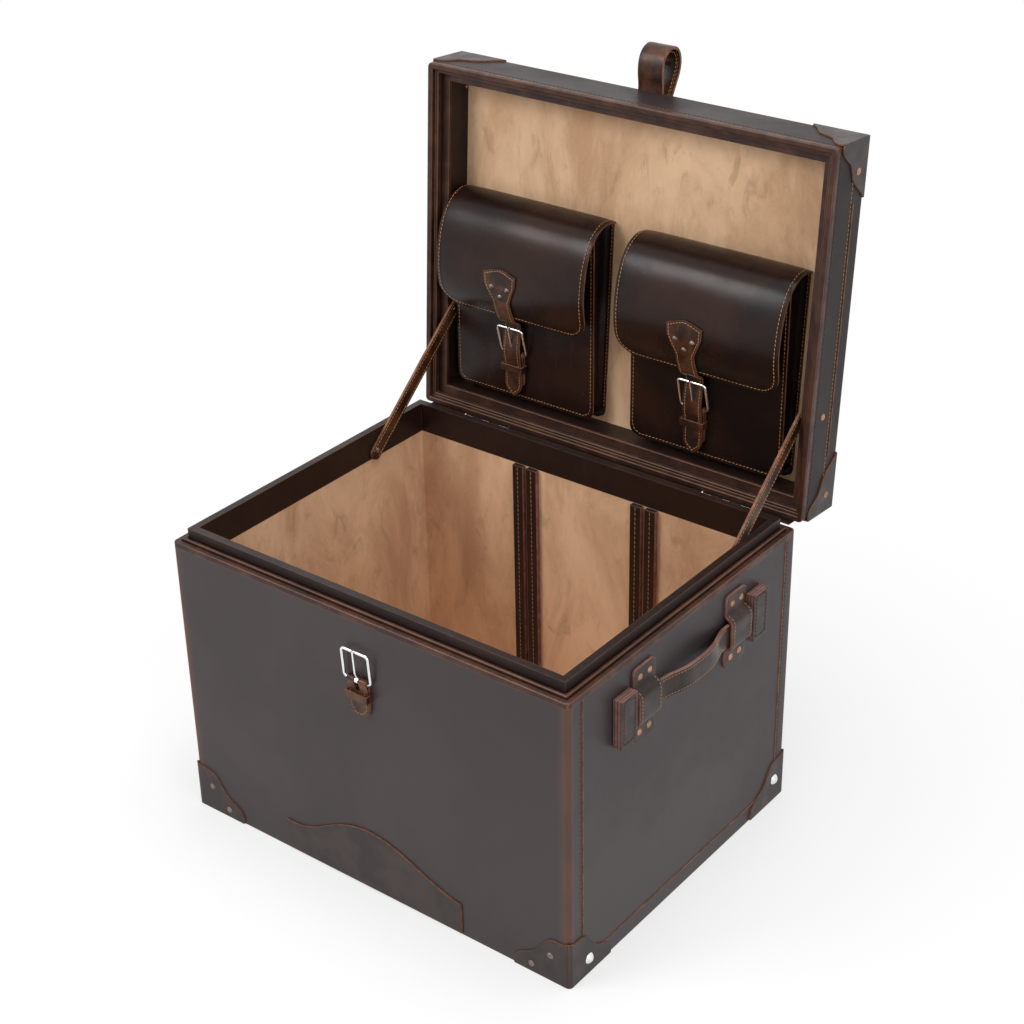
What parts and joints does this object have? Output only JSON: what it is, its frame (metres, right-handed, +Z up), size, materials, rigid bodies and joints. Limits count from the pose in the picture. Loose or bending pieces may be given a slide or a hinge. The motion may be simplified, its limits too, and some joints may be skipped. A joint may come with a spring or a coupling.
{
  "type": "leather storage trunk",
  "caption": "Leather-covered storage trunk, its suede-lined hinged lid standing open on leather stays, with buckled lid pockets and a strap handle on each side.",
  "frame": {"origin": "centre of the flat bottom face, on the floor", "axes": "+X to the right along the front, +Y towards the back where the lid is hinged, +Z up"},
  "size_m": [0.5328, 0.5252, 0.7599],
  "materials": {
    "carcass": "bare board, hidden under the leather",
    "outer_leather": "dark espresso leather with a soft grey sheen and worn edges",
    "rim_leather": "rolled brown leather beads with a waxed edge",
    "collar_leather": "smooth dark collar leather",
    "suede": "beige brushed suede, mottled",
    "rails": "stitched dark leather rails",
    "trim_leather": "dark brown leather with tan stitching",
    "pocket_leather": "soft dark brown pocket leather",
    "handle_leather": "stacked and stitched leather",
    "copper": "copper-coloured rivet, slightly tarnished",
    "chrome": "polished chrome",
    "steel": "darkened steel"
  },
  "bodies": {
    "trunk": {"bottom_board": "carcass", "front_board": "carcass", "back_board": "carcass", "left_board": "carcass", "right_board": "carcass", "inner_boards": "carcass", "suede_lining": "suede", "collar_leather": "collar_leather", "divider_rails": "rails", "front_cover": "outer_leather", "back_cover": "outer_leather", "left_cover": "outer_leather", "right_cover": "outer_leather", "bottom_cover": "outer_leather", "rim_beads": "rim_leather", "cap_front_left": "trim_leather", "cap_front_right": "trim_leather", "cap_rear_left": "trim_leather", "cap_rear_right": "trim_leather", "front_patch": "trim_leather", "front_buckle_tab": "trim_leather", "front_keeper": "trim_leather", "handle_loops": "handle_leather", "hinge_base_leaves": "steel", "hinge_pins": "steel", "stay_left": "trim_leather", "stay_right": "trim_leather", "trunk_rivets": "copper", "chrome_studs": "chrome", "handle_rivets": "copper"},
    "lid": {"lid_top_board": "carcass", "lid_wall_boards": "carcass", "lid_inner_frame": "carcass", "lid_wall_liner": "collar_leather", "lid_top_cover": "outer_leather", "lid_wall_cover": "outer_leather", "lid_beads": "rim_leather", "lid_suede_panel": "suede", "lid_cap_front_left": "trim_leather", "lid_cap_front_right": "trim_leather", "lid_cap_rear_left": "trim_leather", "lid_cap_rear_right": "trim_leather", "closing_strap": "trim_leather", "hinge_lid_leaves": "steel", "pocket_bag_left": "pocket_leather", "pocket_bag_right": "pocket_leather", "pocket_tabs": "trim_leather", "pocket_keepers": "trim_leather", "pocket_buckles": "chrome", "lid_rivets": "copper"},
    "flap_left": {"pocket_flap_left": "pocket_leather", "flap_strap_left": "trim_leather", "flap_rivets_left": "copper"},
    "flap_right": {"pocket_flap_right": "pocket_leather", "flap_strap_right": "trim_leather", "flap_rivets_right": "copper"},
    "handle_left": {"handle_grip_left": "handle_leather"},
    "handle_right": {"handle_grip_right": "handle_leather"},
    "front_buckle": {"front_buckle_frame": "chrome"},
    "front_prong": {"front_prong": "chrome"}
  },
  "joints": [
    {"name": "lid_hinge", "type": "hinge", "parent": "trunk", "child": "lid", "pos_m": [0, 0.2013, 0.325], "axis": [1, 0, 0], "range_deg": [0, 94], "deforming": ["stay_left", "stay_right"]},
    {"name": "handle_left_slide", "type": "slide", "parent": "trunk", "child": "handle_left", "axis": [0, 1, 0], "range_m": [-0.0035, 0.0035]},
    {"name": "handle_right_slide", "type": "slide", "parent": "trunk", "child": "handle_right", "axis": [0, 1, 0], "range_m": [-0.0035, 0.0035]},
    {"name": "front_buckle_swing", "type": "hinge", "parent": "trunk", "child": "front_buckle", "pos_m": [0, -0.19968, 0.26], "axis": [1, 0, 0], "range_deg": [0, 110]},
    {"name": "front_prong_swing", "type": "hinge", "parent": "front_buckle", "child": "front_prong", "pos_m": [0, -0.19968, 0.26], "axis": [1, 0, 0], "range_deg": [0, 25]},
    {"name": "flap_left_hinge", "type": "hinge", "parent": "lid", "child": "flap_left", "pos_m": [-0.127, 0.27056, 0.58009], "axis": [-1, 0, 0], "range_deg": [0, 85], "deforming": ["flap_strap_left"]},
    {"name": "flap_right_hinge", "type": "hinge", "parent": "lid", "child": "flap_right", "pos_m": [0.112, 0.27056, 0.58009], "axis": [-1, 0, 0], "range_deg": [0, 85], "deforming": ["flap_strap_right"]}
  ]
}
